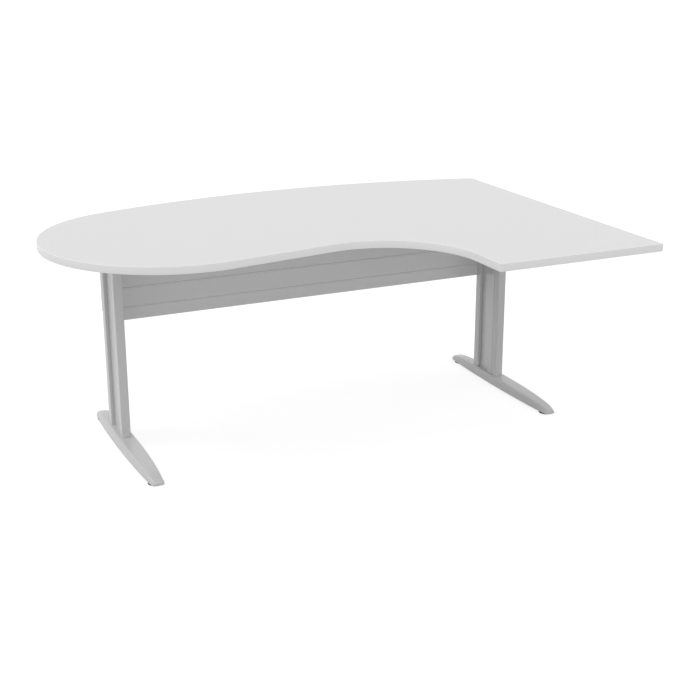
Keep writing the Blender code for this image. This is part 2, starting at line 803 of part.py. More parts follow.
def make_panel():
    left = LEFT_LEG_X + POST_WIDTH / 2 + GAP
    right = RIGHT_LEG_X - POST_WIDTH / 2 - GAP
    middle = Matrix.Translation(((left + right) / 2, 0, 0))
    panel = outline(
        "modesty_panel", [panel_path()], right - left, middle @ SIDE_VIEW, PAINT, filled=False
    )
    sheet = panel.modifiers.new("sheet", "SOLIDIFY")
    sheet.thickness = PANEL_SHEET
    sheet.offset = -1
    sheet.use_even_offset = True
    back = PANEL_FRONT + PANEL_SHEET
    tip = STRAP_FRONT + STRAP_THICKNESS + GAP + NUT_HEIGHT + STUD_TIP
    profile = [
        (0, tip - back),
        (STUD_RADIUS, tip - back),
        (STUD_RADIUS, -WELD_DEPTH),
        (0, -WELD_DEPTH),
    ]
    for side, leg_x, inward in LEGS:
        arm_face = leg_x + inward * (ARM_WIDTH / 2 + GAP)
        span = sorted((arm_face, leg_x))
        notch = box(
            f"{side}_panel_notch",
            (span[0], PANEL_FRONT - OVERRUN, ARM_TOP - ARM_DEPTH - GAP),
            (span[1], PANEL_FRONT + PANEL_LIP + OVERRUN, ARM_TOP),
            None,
            CUTTERS,
        )
        cut(panel, notch)
        x = (left if inward > 0 else right) + inward * STUD_INSET
        for level, z in zip(("lower", "upper"), stud_heights()):
            stud = turned(f"{side}_{level}_stud", profile, PAINT, (x, back, z), "+Y")
            place(stud, None, CUTTERS)
            combine(panel, stud, "UNION")
            make_panel_nut(f"{side}_{level}_panel_nut", x, z)


def make_panel_nut(name, x, z):
    front = STRAP_FRONT + STRAP_THICKNESS + GAP
    centre = Matrix.Translation((x, front + NUT_HEIGHT / 2, z))
    loops = [circle((0, 0), NUT_RADIUS, 6), circle((0, 0), STUD_RADIUS + HOLE_PLAY)]
    outline(name, loops, NUT_HEIGHT, centre @ FRONT_VIEW, STEEL)


def make_strap(side, x, inward):
    """A flat strap on the rear post's back, which reaches behind the panel's end."""
    outer = -POST_WIDTH / 2
    inner = POST_WIDTH / 2 + STRAP_OVERLAP
    low = PANEL_BOTTOM + STRAP_MARGIN
    high = PANEL_TOP - STRAP_MARGIN
    ends = sorted((inward * outer, inward * inner))
    loops = [rounded_rectangle((ends[0], low), (ends[1], high), STRAP_CORNER_RADIUS)]
    stud_x = inward * (POST_WIDTH / 2 + GAP + STUD_INSET)
    for z in stud_heights():
        loops.append(circle((stud_x, z), STUD_RADIUS + HOLE_PLAY))
    for z in strap_screw_heights():
        loops.append(circle((0, z), STRAP_SCREW_RADIUS + HOLE_PLAY))
    centre = Matrix.Translation((x, STRAP_FRONT + STRAP_THICKNESS / 2, 0))
    outline(f"{side}_panel_strap", loops, STRAP_THICKNESS, centre @ FRONT_VIEW, PAINT)
    seat = STRAP_FRONT + STRAP_THICKNESS + GAP
    profile = bolt_profile(
        STRAP_SCREW_HEAD_RADIUS,
        STRAP_SCREW_HEAD_HEIGHT,
        STRAP_SCREW_RADIUS,
        seat - COLUMN_REAR + POST_WALL + STRAP_SCREW_TIP,
    )
    for level, z in zip(("lower", "upper"), strap_screw_heights()):
        turned(f"{side}_{level}_strap_screw", profile, STEEL, (x, seat, z), "-Y")


def make_desk():
    make_worktop()
    for side, x, inward in LEGS:
        make_foot(side, x)
        make_column(side, x)
        make_arm(side, x, inward)
        make_strap(side, x, inward)
        for end, y in (("front", FRONT_BOLT_Y), ("rear", REAR_BOLT_Y)):
            make_foot_bolt(side, end, x, y)
        for end, y in (("front", GLIDE_FRONT_Y), ("rear", GLIDE_REAR_Y)):
            make_glide(side, end, x, y)
    for end, y in rail_places():
        make_rail(end, y)
    make_panel()


make_desk()
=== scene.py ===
"""Looks of the compact office desk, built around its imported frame. Metres, +Z up."""

import json
import math

import bmesh
import bpy
from mathutils import Matrix, Vector


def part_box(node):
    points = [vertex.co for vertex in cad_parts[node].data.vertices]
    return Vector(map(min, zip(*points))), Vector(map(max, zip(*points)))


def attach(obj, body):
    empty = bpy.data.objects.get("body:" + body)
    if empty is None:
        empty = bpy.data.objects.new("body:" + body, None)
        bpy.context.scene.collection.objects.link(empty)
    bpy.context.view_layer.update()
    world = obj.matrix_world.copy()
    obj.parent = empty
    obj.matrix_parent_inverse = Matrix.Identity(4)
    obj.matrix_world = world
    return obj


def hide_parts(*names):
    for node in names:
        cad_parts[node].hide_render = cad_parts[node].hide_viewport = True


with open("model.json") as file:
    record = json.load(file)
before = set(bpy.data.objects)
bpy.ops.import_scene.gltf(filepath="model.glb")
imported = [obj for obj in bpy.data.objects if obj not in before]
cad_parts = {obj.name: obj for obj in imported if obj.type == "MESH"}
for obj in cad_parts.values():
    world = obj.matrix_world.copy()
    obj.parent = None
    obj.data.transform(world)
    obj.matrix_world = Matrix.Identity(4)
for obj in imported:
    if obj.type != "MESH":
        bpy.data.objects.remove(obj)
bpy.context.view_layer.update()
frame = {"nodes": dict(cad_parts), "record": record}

ROOT = "desk"
SIDES = ("left", "right")
ENDS = ("front", "rear")
LEVELS = ("lower", "upper")

# Worktop
RETURN_DEPTH = 1.200
RETURN_WIDTH = 0.600
RETURN_STRAIGHT = 0.140
INNER_RADIUS = 0.300
INNER_TURN = math.radians(99.5)
END_RADIUS = 0.424
BACK_RADIUS = 2.530
BAND_THICKNESS = 0.002
BAND_EDGE_RADIUS = 0.0013
GLUE_LINE = 0.00008

# Columns
POST_CORNER_RADIUS = 0.002
POST_WALL = 0.0018
WEB_SHEET = 0.0015
WEB_REAR_WIDTH = 0.005
SEAT_GAP = 0.0001

# Feet
FOOT_WIDTH = 0.0694
FOOT_END_WIDTH = 0.0474
FOOT_CROWN_WIDTH = 0.0596
FOOT_CROWN_END_WIDTH = 0.0340
FOOT_LENGTH = 0.6892
FOOT_RIM_HEIGHT = 0.0048
FOOT_LIP_HEIGHT = 0.0020
FOOT_LIP_LENGTH = 0.012
FOOT_WALL = 0.0025
FOOT_RIM_ROUND = 0.0006
RIM_ROUND_SHARES = ((0.1, 0.7), (0.25, 1), (0.75, 1), (0.9, 0.7))  # across the wall, down
LAST_SHARE = 0.9999  # the last section of the foot's loft, as a share of its half length
PLAN_POWER = 12.0
SECTION_POWER = 7.3
FRONT_POWER = 3.0
REAR_POWER = 3.4

# Bolts and screws
HOLE_PLAY = 0.0002
BOLT_RADIUS = 0.004
BOLT_HEAD_HEIGHT = 0.005
BOLT_KEY_WIDTH = 0.005
BOLT_KEY_DEPTH = 0.003
STRAP_SCREW_RADIUS = 0.0025
STRAP_SCREW_HEAD_HEIGHT = 0.0026
STRAP_SCREW_KEY_WIDTH = 0.003
STRAP_SCREW_KEY_DEPTH = 0.0014
TOP_SCREW_COUNT = 4
TOP_SCREW_RADIUS = 0.0021
TOP_SCREW_HEAD_HEIGHT = 0.0024
CROSS_LENGTH = 0.0062
CROSS_WIDTH = 0.0011
CROSS_DEPTH = 0.0016
HEAD_DOME_SHARE = 0.35
HEAD_FLAT_SHARE = 0.72
HEAD_EDGE = 0.0001
RECESS_FLARE_SHARE = 1.04
RECESS_CENTRE_RADIUS = 0.0003
POINT_START_SHARE = 0.95
POINT_WIDTH_SHARE = 0.75

# Panel straps, their studs and nuts
STRAP_CORNER_RADIUS = 0.004
STRAP_EDGE_ROUND = 0.0003
STRAP_ROUND_ANGLE = 60
STUD_RADIUS = 0.0025
STUD_PITCH = 0.0008
STUD_THREAD_DEPTH = 0.0003
STUD_THREAD_START = 0.001
STUD_THREAD_INSET = 0.0004
STUD_WELD_SHARE = 1.25
STUD_WELD_HEIGHT_SHARE = 0.3
STUD_TIP_SHARE = 0.8
NUT_CHAMFER_SHARE = 0.9
NUT_CHAMFER_RISE_SHARE = 0.6

# Levelling glides
STEM_RADIUS = 0.004
STEM_PITCH = 0.00125
STEM_THREAD_DEPTH = 0.00055
STEM_THREAD_INSET = 0.0006
STEM_TIP_SHARE = 0.8
PAD_GAP = 0.0003
GLIDE_FLOOR = 0.0030
GLIDE_HUB_RADIUS = 0.010
GLIDE_HUB_CHAMFER = 0.0006
GLIDE_HUB_FILLET = 0.0005
GLIDE_BORE_PLAY = 0.0005
GLIDE_BORE_CHAMFER = 0.0004
GLIDE_ROUND = 0.0012
GLIDE_FOOT_ROUND_SHARE = 0.6
GLIDE_RECESS_SHARES = (0.8, 0.76)  # radii of the slope into the recess below the pad
GLIDE_RECESS_DEPTH = 0.0004
GLIDE_CENTRE_RADIUS = 0.0004

# Support arms and rails
ARM_WALL = 0.0025
ARM_BEND_RADIUS = 0.0035
ARM_END_DEPTH = 0.012
ARM_TAPER_LENGTH = 0.100
RAIL_CORNER_RADIUS = 0.003
RAIL_END_ROUND = 0.0008

# Modesty panel
PANEL_SHEET = 0.0015
PANEL_LIP = 0.015
PANEL_BEND_RADIUS = 0.002
BEAD_COUNT = 4
BEAD_SPACING = 0.069
BEAD_WIDTH = 0.008
BEAD_CREST_SHARE = 0.45
BEAD_HEIGHT = 0.0025
ARM_NOTCH_GAP = 0.0003
NOTCH_CUTTER_SHARE = 4  # depth of the notch's cutter, in lips
MITRE_LIMIT = 0.5

# Fineness
CURVE_STEPS = 72
CORNER_STEPS = 8
FOOT_STATIONS = 60
FOOT_ARCH_STEPS = 44
BEAD_STEPS = 16
BOLT_STEPS = 24
CROSS_STEPS = 32
NUT_STEPS = 36
GLIDE_STEPS = 64
THREAD_STEPS = 8
STRAP_ROUND_STEPS = 2
FLOOR_STEPS = 4
MERGE_DISTANCE = 0.000003

# Widest angle in degrees between two faces that are shaded as one
SMOOTH_ANGLE = 35
WORKTOP_SMOOTH_ANGLE = 40
FOOT_SMOOTH_ANGLE = 50
POST_SMOOTH_ANGLE = 40
ARM_SMOOTH_ANGLE = 30
RAIL_SMOOTH_ANGLE = 50
PANEL_SMOOTH_ANGLE = 30
BOLT_SMOOTH_ANGLE = 40
NUT_SMOOTH_ANGLE = 25
GLIDE_SMOOTH_ANGLE = 30

# Materials: shades are shares of the colour, a bump is its strength and its depth
NOISE_LOW = 0.3
NOISE_HIGH = 0.7
NOISE_DETAIL = 2.0
LAMINATE_TONE = 0.795
LAMINATE_SHADES = (0.985, 1.015)
LAMINATE_ROUGHNESS = (0.38, 0.46)
LAMINATE_GRAIN_SIZE = 0.0011
LAMINATE_CLOUD_SIZE = 0.14
LAMINATE_CLOUD_SHARE = 0.5
LAMINATE_BUMP = (0.25, 0.00004)
BAND_TONE = 0.93
BAND_SHADES = (0.985, 1.015)
BAND_ROUGHNESS = (0.32, 0.40)
BAND_LINE_SIZE = 0.02
BAND_LINE_STRETCH = (0.2, 0.2, 30)
BAND_SPECK_SIZE = 0.0012
BAND_BUMP = (0.2, 0.00003)
LEG_TONE = 0.645
# Painted light: the panel's coat is a lighter copy of the legs' paint, to offset the shade the worktop
# casts on it
PANEL_PAINTED_LIGHT_TONE = 0.735
PAINT_SHADES = (0.96, 1.04)
PAINT_ROUGHNESS = (0.23, 0.29)
PAINT_PEEL_SIZE = 0.0016
PAINT_FLAKE_SIZE = 0.0004
PAINT_FLAKE_DETAIL = 1.0
PAINT_BUMP = (0.15, 0.00003)
ZINC_COLOUR = (0.62, 0.63, 0.64)
ZINC_DARK = (0.58, 0.59, 0.62)
ZINC_LIGHT = (0.68, 0.67, 0.65)
ZINC_ROUGHNESS = (0.26, 0.40)
ZINC_CLOUD_SIZE = 0.004
ZINC_CLOUD_DETAIL = 3.0
ZINC_GRAIN_SIZE = 0.0005
ZINC_BUMP = (0.15, 0.00002)
BLACK_COLOUR = (0.018, 0.018, 0.019)
BLACK_SHADES = (0.85, 1.2)
BLACK_ROUGHNESS = (0.42, 0.56)
BLACK_GRAIN_SIZE = 0.0006
BLACK_BUMP = (0.35, 0.00005)

# Studio
FLOOR_REACH = 40.0
FLOOR_COLOUR = 0.55
FLOOR_SHADE = 0.35
FLOOR_GLOW = 0.80
WORLD_LIGHT = 0.61
WORLD_SEEN = 1.0
LAMP_DISTANCE = 6.0
# Name, azimuth, height and softness in degrees, strength
LAMPS = (
    ("top_softbox", 200, 82, 40, 0.14),
    ("left_softbox", 166, 58, 24, 0.50),
    ("rear_left_softbox", 150, 25, 30, 0.24),
    ("front_softbox", 262, 42, 30, 0.18),
    ("front_low_softbox", 268, 7, 20, 0.22),
    ("right_softbox", 0, 45, 30, 0.12),
)

# Camera
CAMERA_PLACE = (-1.6957, -3.8540, 1.7023)
CAMERA_YAW = math.radians(25.120)
CAMERA_PITCH = math.radians(18.500)
CAMERA_LENS = 66.587
CAMERA_REACH = 200.0
SENSOR_WIDTH = 36.0


# Points


def arc(centre, radius, start, end, steps):
    points = []
    for i in range(steps + 1):
        angle = start + (end - start) * i / steps
        points.append((centre[0] + radius * math.cos(angle), centre[1] + radius * math.sin(angle)))
    return points


def circle(centre, radius):
    return arc(centre, radius, 0, math.tau, BOLT_STEPS)[:-1]


def rounded_rectangle(low, high, radius):
    centres = (
        (high[0] - radius, low[1] + radius),
        (high[0] - radius, high[1] - radius),
        (low[0] + radius, high[1] - radius),
        (low[0] + radius, low[1] + radius),
    )
    points = []
    for i, centre in enumerate(centres):
        start = math.pi / 2 * (i - 1)
        points += arc(centre, radius, start, start + math.pi / 2, CORNER_STEPS)
    return points


# Meshes


def node_box(name):
    """Lowest and highest corners of a node."""
    low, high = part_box(name)
    return Vector(low), Vector(high)


def bridge(bm, first, second, closed=True):
    """Quads between two loops of as many vertices."""
    count = len(first)
    for i in range(count if closed else count - 1):
        j = (i + 1) % count
        bm.faces.new((first[i], first[j], second[j], second[i]))


def skin(bm, rings, closed=True, looped=False, caps=True):
    """Quads between rings of points. Looped joins the last ring to the first."""
    loops = [[bm.verts.new(point) for point in points] for points in rings]
    pairs = list(zip(loops, loops[1:]))
    if looped:
        pairs.append((loops[-1], loops[0]))
    for loop, following in pairs:
        bridge(bm, loop, following, closed)
    if caps and closed and not looped:
        bm.faces.new(list(reversed(loops[0])))
        bm.faces.new(loops[-1])
    return loops


def link_piece(name, mesh, material, angle=SMOOTH_ANGLE):
    mesh.shade_smooth()
    mesh.set_sharp_from_angle(angle=math.radians(angle))
    mesh.materials.clear()
    mesh.materials.append(material)
    piece = bpy.data.objects.new(name, mesh)
    bpy.context.scene.collection.objects.link(piece)
    return piece


def mesh_piece(name, bm, material, angle=SMOOTH_ANGLE):
    bmesh.ops.recalc_face_normals(bm, faces=bm.faces)
    mesh = bpy.data.meshes.new(name)
    bm.to_mesh(mesh)
    bm.free()
    return link_piece(name, mesh, material, angle)


def plate(name, loops, thickness, matrix, material):
    """A flat outline with holes, made solid about its own plane."""
    curve = bpy.data.curves.new(name + "_outline", "CURVE")
    curve.dimensions = "2D"
    curve.fill_mode = "BOTH"
    curve.extrude = thickness / 2
    for loop in loops:
        spline = curve.splines.new("POLY")
        spline.points.add(len(loop) - 1)
        for point, (x, y) in zip(spline.points, loop):
            point.co = (x, y, 0, 1)
        spline.use_cyclic_u = True
    flat = bpy.data.objects.new(name + "_outline", curve)
    bpy.context.scene.collection.objects.link(flat)
    bpy.context.view_layer.update()
    evaluated = flat.evaluated_get(bpy.context.evaluated_depsgraph_get())
    mesh = bpy.data.meshes.new_from_object(evaluated)
    bpy.data.objects.remove(flat, do_unlink=True)
    bpy.data.curves.remove(curve)
    bm = bmesh.new()
    bm.from_mesh(mesh)
    bmesh.ops.remove_doubles(bm, verts=bm.verts, dist=MERGE_DISTANCE)
    bmesh.ops.transform(bm, matrix=matrix, verts=bm.verts)
    bm.to_mesh(mesh)
    bm.free()
    mesh.name = name
    return link_piece(name, mesh, material)


def dress(piece, body, slot, *nodes):
    """The piece moves with the body and stands for the nodes, which it hides; the slot is not used."""
    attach(piece, body)
    if nodes:
        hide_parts(*nodes)
    return piece


def carve(piece, cutter):
    """Cut the cutter out of the piece at once."""
    modifier = piece.modifiers.new("cut", "BOOLEAN")
    modifier.operation = "DIFFERENCE"
    modifier.solver = "EXACT"
    modifier.object = cutter
    bpy.context.view_layer.update()
    evaluated = piece.evaluated_get(bpy.context.evaluated_depsgraph_get())
    mesh = bpy.data.meshes.new_from_object(evaluated)
    piece.modifiers.clear()
    piece.data = mesh
    bpy.data.objects.remove(cutter, do_unlink=True)


# Materials


def node(tree, kind, **values):
    made = tree.nodes.new(kind)
    for key, value in values.items():
        if key in made.inputs:
            made.inputs[key].default_value = value
        else:
            setattr(made, key, value)
    return made


def new_material(name, colour, roughness, metallic=0.0):
    """A material with its node tree, its shader and the object's own coordinates."""
    material = bpy.data.materials.new(name)
    material.use_nodes = True
    tree = material.node_tree
    shader = tree.nodes["Principled BSDF"]
    shader.inputs["Base Color"].default_value = (*colour, 1.0)
    shader.inputs["Roughness"].default_value = sum(roughness) / len(roughness)
    shader.inputs["Metallic"].default_value = metallic
    place = tree.nodes.new("ShaderNodeTexCoord")
    return material, tree, shader, place.outputs["Object"]


def noise(tree, place, size, detail=NOISE_DETAIL, stretch=(1, 1, 1)):
    """Noise whose cells are about the given size in metres."""
    spread = node(tree, "ShaderNodeMapping", Scale=stretch)
    tree.links.new(place, spread.inputs["Vector"])
    made = node(tree, "ShaderNodeTexNoise", Scale=1 / size, Detail=detail)
    tree.links.new(spread.outputs["Vector"], made.inputs["Vector"])
    return made.outputs["Fac"]


def set_colour(tree, shader, factor, dark, light):
    """Base colour between two shades, by the noise."""
    ramp = tree.nodes.new("ShaderNodeValToRGB")
    first, last = ramp.color_ramp.elements
    first.position = NOISE_LOW
    first.color = (*dark, 1.0)
    last.position = NOISE_HIGH
    last.color = (*light, 1.0)
    tree.links.new(factor, ramp.inputs["Fac"])
    tree.links.new(ramp.outputs["Color"], shader.inputs["Base Color"])


def set_roughness(tree, shader, factor, low, high):
    """Roughness between two values, by the noise."""
    span = node(tree, "ShaderNodeMapRange", **{"From Min": NOISE_LOW, "From Max": NOISE_HIGH})
    span.inputs["To Min"].default_value = low
    span.inputs["To Max"].default_value = high
    tree.links.new(factor, span.inputs["Value"])
    tree.links.new(span.outputs["Result"], shader.inputs["Roughness"])


def set_bump(tree, shader, height, strength, depth):
    made = node(tree, "ShaderNodeBump", Strength=strength, Distance=depth)
    tree.links.new(height, made.inputs["Height"])
    tree.links.new(made.outputs["Normal"], shader.inputs["Normal"])


def grey(tone):
    return (tone, tone, tone)


def shades(colour, shares):
    """The colour made darker and lighter by two shares."""
    return [tuple(channel * share for channel in colour) for share in shares]


def laminate_material():
    """Light grey melamine with a fine pearl grain."""
    colour = grey(LAMINATE_TONE)
    material, tree, shader, place = new_material("melamine", colour, LAMINATE_ROUGHNESS)
    grain = noise(tree, place, LAMINATE_GRAIN_SIZE)
    cloud = noise(tree, place, LAMINATE_CLOUD_SIZE)
    mix = node(tree, "ShaderNodeMix", data_type="FLOAT", Factor=LAMINATE_CLOUD_SHARE)
    tree.links.new(grain, mix.inputs["A"])
    tree.links.new(cloud, mix.inputs["B"])
    set_colour(tree, shader, mix.outputs["Result"], *shades(colour, LAMINATE_SHADES))
    set_roughness(tree, shader, cloud, *LAMINATE_ROUGHNESS)
    set_bump(tree, shader, grain, *LAMINATE_BUMP)
    return material


def band_material():
    """Extruded edge strip: a shade apart from the board, with faint lines along its length."""
    colour = grey(BAND_TONE)
    material, tree, shader, place = new_material("edge_strip", colour, BAND_ROUGHNESS)
    lines = noise(tree, place, BAND_LINE_SIZE, stretch=BAND_LINE_STRETCH)
    speck = noise(tree, place, BAND_SPECK_SIZE)
    set_colour(tree, shader, speck, *shades(colour, BAND_SHADES))
    set_roughness(tree, shader, lines, *BAND_ROUGHNESS)
    set_bump(tree, shader, lines, *BAND_BUMP)
    return material


def paint_material(name, tone):
    """Silver grey powder coat: fine orange peel and a little metal flake."""
    colour = grey(tone)
    material, tree, shader, place = new_material(name, colour, PAINT_ROUGHNESS)
    peel = noise(tree, place, PAINT_PEEL_SIZE)
    flake = noise(tree, place, PAINT_FLAKE_SIZE, PAINT_FLAKE_DETAIL)
    set_colour(tree, shader, flake, *shades(colour, PAINT_SHADES))
    set_roughness(tree, shader, peel, *PAINT_ROUGHNESS)
    set_bump(tree, shader, peel, *PAINT_BUMP)
    return material


def zinc_material():
    """Bright zinc plate with a faint bluish cloud."""
    name = "zinc_plate"
    material, tree, shader, place = new_material(name, ZINC_COLOUR, ZINC_ROUGHNESS, metallic=1.0)
    cloud = noise(tree, place, ZINC_CLOUD_SIZE, ZINC_CLOUD_DETAIL)
    grain = noise(tree, place, ZINC_GRAIN_SIZE)
    set_colour(tree, shader, cloud, ZINC_DARK, ZINC_LIGHT)
    set_roughness(tree, shader, cloud, *ZINC_ROUGHNESS)
    set_bump(tree, shader, grain, *ZINC_BUMP)
    return material


def black_material():
    """Black moulded plastic with a fine spark-eroded grain."""
    name = "black_moulded_plastic"
    material, tree, shader, place = new_material(name, BLACK_COLOUR, BLACK_ROUGHNESS)
    grain = noise(tree, place, BLACK_GRAIN_SIZE)
    set_colour(tree, shader, grain, *shades(BLACK_COLOUR, BLACK_SHADES))
    set_roughness(tree, shader, grain, *BLACK_ROUGHNESS)
    set_bump(tree, shader, grain, *BLACK_BUMP)
    return material


MATERIALS = {
    "board": laminate_material(),
    "edge_plastic": band_material(),
    "silver_paint": paint_material("silver_powder_coat", LEG_TONE),
    "zinc_steel": zinc_material(),
    "black_plastic": black_material(),
}


# Worktop

TOP_LOW, TOP_HIGH = node_box("worktop_edge_band")
TOP_LENGTH = TOP_HIGH.x - TOP_LOW.x


def top_centres():
    """Centres of the worktop's three curves, measured from the return's front edge."""
    inner = (TOP_LENGTH / 2 - RETURN_WIDTH - INNER_RADIUS, RETURN_STRAIGHT)
    toe = arc(inner, INNER_RADIUS, INNER_TURN, INNER_TURN, 1)[0]
    heading = (-math.sin(INNER_TURN), math.cos(INNER_TURN))
    across = (heading[1], -heading[0])
    end_x = END_RADIUS - TOP_LENGTH / 2
    run = (end_x - toe[0] - END_RADIUS * across[0]) / heading[0]
    end = (end_x, toe[1] + run * heading[1] + END_RADIUS * across[1])
    corner = (TOP_LENGTH / 2, RETURN_DEPTH)
    spread = math.dist(end, corner)
    nearness = BACK_RADIUS - END_RADIUS
    along = (nearness**2 - BACK_RADIUS**2 + spread**2) / (2 * spread)
    aside = math.sqrt(nearness**2 - along**2)
    unit = ((corner[0] - end[0]) / spread, (corner[1] - end[1]) / spread)
    back = (
        end[0] + along * unit[0] + aside * unit[1],
        end[1] + along * unit[1] - aside * unit[0],
    )
    return inner, end, back


def top_loop(inset):
    """The worktop's outline, drawn in by the inset, from the return's inner front corner."""
    inner, end, back = top_centres()
    right = TOP_LENGTH / 2 - inset
    inner_x = TOP_LENGTH / 2 - RETURN_WIDTH + inset
    lead = math.atan2(end[1] - back[1], end[0] - back[0])
    back_radius = BACK_RADIUS - inset
    corner_angle = math.acos((right - back[0]) / back_radius)
    points = [(inner_x, inset)]
    points += arc(inner, INNER_RADIUS + inset, 0, INNER_TURN, CURVE_STEPS // 2)
    points += arc(end, END_RADIUS - inset, INNER_TURN + math.pi, lead, CURVE_STEPS)
    points += arc(back, back_radius, lead, corner_angle, CURVE_STEPS)[1:]
    points.append((right, inset))
    return [(x, y + TOP_LOW.y) for x, y in points]


def rounded_wall(inner, radius, low, high):
    """Section of an edge strip as (inset, height): flat inner side, rounded outer edges."""
    steps = CORNER_STEPS // 2
    lower = arc((radius, low + radius), radius, -math.pi / 2, -math.pi, steps)
    upper = arc((radius, high - radius), radius, math.pi, math.pi / 2, steps)
    return [(inner, low)] + lower + upper + [(inner, high)]


def make_worktop():
    section = rounded_wall(BAND_THICKNESS, BAND_EDGE_RADIUS, TOP_LOW.z, TOP_HIGH.z)
    bm = bmesh.new()
    rings = [[(x, y, z) for x, y in top_loop(inset)] for inset, z in section]
    skin(bm, rings, looped=True)
    band = mesh_piece("worktop_edging", bm, MATERIALS["edge_plastic"], WORKTOP_SMOOTH_ANGLE)
    dress(band, ROOT, "edge_plastic", "worktop_edge_band")
    bm = bmesh.new()
    inset = BAND_THICKNESS + GLUE_LINE
    rings = [[(x, y, z) for x, y in top_loop(inset)] for z in (TOP_LOW.z, TOP_HIGH.z)]
    skin(bm, rings)
    board = mesh_piece("worktop_board", bm, MATERIALS["board"], WORKTOP_SMOOTH_ANGLE)
    dress(board, ROOT, "board", "worktop_core")


# Feet


def width_at(middle, end, share):
    return middle - (middle - end) * share**2


class Foot:
    """The foot's domed form, placed by its node's box. Its front end reaches lower, in a lip."""

    def __init__(self, side):
        low, high = node_box(f"{side}_foot")
        self.x = (low.x + high.x) / 2
        self.y = (low.y + high.y) / 2
        self.top = high.z

    def profile(self, share):
        power = FRONT_POWER if share < 0 else REAR_POWER
        return max(1 - abs(share) ** power, 0) ** (1 / power)

    def crown(self, y, margin=0):
        share = (y - self.y) / (FOOT_LENGTH / 2 + margin)
        rise = self.top - FOOT_RIM_HEIGHT + margin
        return FOOT_RIM_HEIGHT + rise * self.profile(share)

    def rim(self, y):
        from_front = y - self.y + FOOT_LENGTH / 2
        nearness = max(1 - from_front / FOOT_LIP_LENGTH, 0)
        return FOOT_RIM_HEIGHT - (FOOT_RIM_HEIGHT - FOOT_LIP_HEIGHT) * min(nearness, 1) ** 2

    def section(self, share, margin):
        """An arch across the foot, from its rim on one side to its rim on the other."""
        blunt = max(1 - abs(share) ** PLAN_POWER, 0) ** (1 / PLAN_POWER)
        base = width_at(FOOT_WIDTH, FOOT_END_WIDTH, share) / 2 * blunt + margin
        narrow = width_at(FOOT_CROWN_WIDTH, FOOT_CROWN_END_WIDTH, share) / 2 * blunt + margin
        y = self.y + (FOOT_LENGTH / 2 + margin) * share
        rim = self.rim(y)
        rise = self.crown(y, margin) - rim
        arch = []
        for i in range(FOOT_ARCH_STEPS + 1):
            angle = math.pi * i / FOOT_ARCH_STEPS
            reach = math.copysign(abs(math.cos(angle)) ** (2 / SECTION_POWER), math.cos(angle))
            height = max(math.sin(angle), 0) ** (2 / SECTION_POWER)
            half = base - (base - narrow) * height
            arch.append((self.x + half * reach, y, rim + rise * height))
        return arch

    def shell(self, margin):
        """Rings of the domed form, closest together at its ends, raised for the rounded rim."""
        rings = []
        for i in range(FOOT_STATIONS + 1):
            turn = math.pi * (i / FOOT_STATIONS - 1 / 2)
            power = FRONT_POWER if turn < 0 else REAR_POWER
            share = math.copysign(abs(math.sin(turn)) ** (2 / power), turn)
            share = max(min(share, LAST_SHARE), -LAST_SHARE)
            arch = self.section(share, margin)
            for end in (0, -1):
                x, y, z = arch[end]
                arch[end] = (x, y, z + FOOT_RIM_ROUND)
            rings.append(arch)
        return rings


def make_foot(side):
    foot = Foot(side)
    bm = bmesh.new()
    outer = skin(bm, foot.shell(0), closed=False)
    inner = skin(bm, foot.shell(-FOOT_WALL), closed=False)
    edges = []
    for loops in (outer, inner):
        bm.faces.new(loops[0])
        bm.faces.new(loops[-1])
        edges.append([loop[0] for loop in loops] + [loop[-1] for loop in reversed(loops)])
    lip = [edges[0]]
    for inset_share, drop_share in RIM_ROUND_SHARES:
        loop = []
        for a, b in zip(*edges):
            point = a.co.lerp(b.co, inset_share)
            loop.append(bm.verts.new(point - Vector((0, 0, FOOT_RIM_ROUND * drop_share))))
        lip.append(loop)
    lip.append(edges[1])
    for loop, following in zip(lip, lip[1:]):
        bridge(bm, loop, following)
    paint = MATERIALS["silver_paint"]
    piece = mesh_piece(f"{side}_foot_casting", bm, paint, FOOT_SMOOTH_ANGLE)
    dress(piece, ROOT, "silver_paint", f"{side}_foot")


# Columns


def seated_rings(foot, points, top):
    """A section's lower ring, laid on the foot's crown, and its upper ring."""
    return [
        [(x, y, foot.crown(y) + SEAT_GAP) for x, y in points],
        [(x, y, top) for x, y in points],
    ]


def make_post(side, end):
    low, high = node_box(f"{side}_{end}_post")
    foot = Foot(side)
    bm = bmesh.new()
    shells = []
    for wall, radius in ((0, POST_CORNER_RADIUS), (POST_WALL, POST_CORNER_RADIUS / 2)):
        inner_low = (low.x + wall, low.y + wall)
        inner_high = (high.x - wall, high.y - wall)
        points = rounded_rectangle(inner_low, inner_high, radius)
        shells.append(skin(bm, seated_rings(foot, points, high.z), caps=False))
    for outer, inner in zip(*shells):
        bridge(bm, outer, inner)
    paint = MATERIALS["silver_paint"]
    post = mesh_piece(f"{side}_{end}_post_tube", bm, paint, POST_SMOOTH_ANGLE)
    dress(post, ROOT, "silver_paint", f"{side}_{end}_post")


def make_web(side):
    """Folded sheet between the posts: as wide as the front post, narrow at the rear one."""
    low, high = node_box(f"{side}_column_web")
    x = (low.x + high.x) / 2
    half_front = (high.x - low.x) / 2
    half_rear = WEB_REAR_WIDTH / 2
    fold = high.y - WEB_SHEET
    half_fold = half_rear + (half_front - half_rear) * WEB_SHEET / (high.y - low.y) - WEB_SHEET
    outline = (
        (half_front, low.y),
        (half_rear, high.y),
        (-half_rear, high.y),
        (-half_front, low.y),
        (WEB_SHEET - half_front, low.y),
        (-half_fold, fold),
        (half_fold, fold),
        (half_front - WEB_SHEET, low.y),
    )
    points = [(x + across, y) for across, y in outline]
    bm = bmesh.new()
    skin(bm, seated_rings(Foot(side), points, high.z))
    web = mesh_piece(f"{side}_web_sheet", bm, MATERIALS["silver_paint"])
    dress(web, ROOT, "silver_paint", f"{side}_column_web")


# Support arms and cross rails


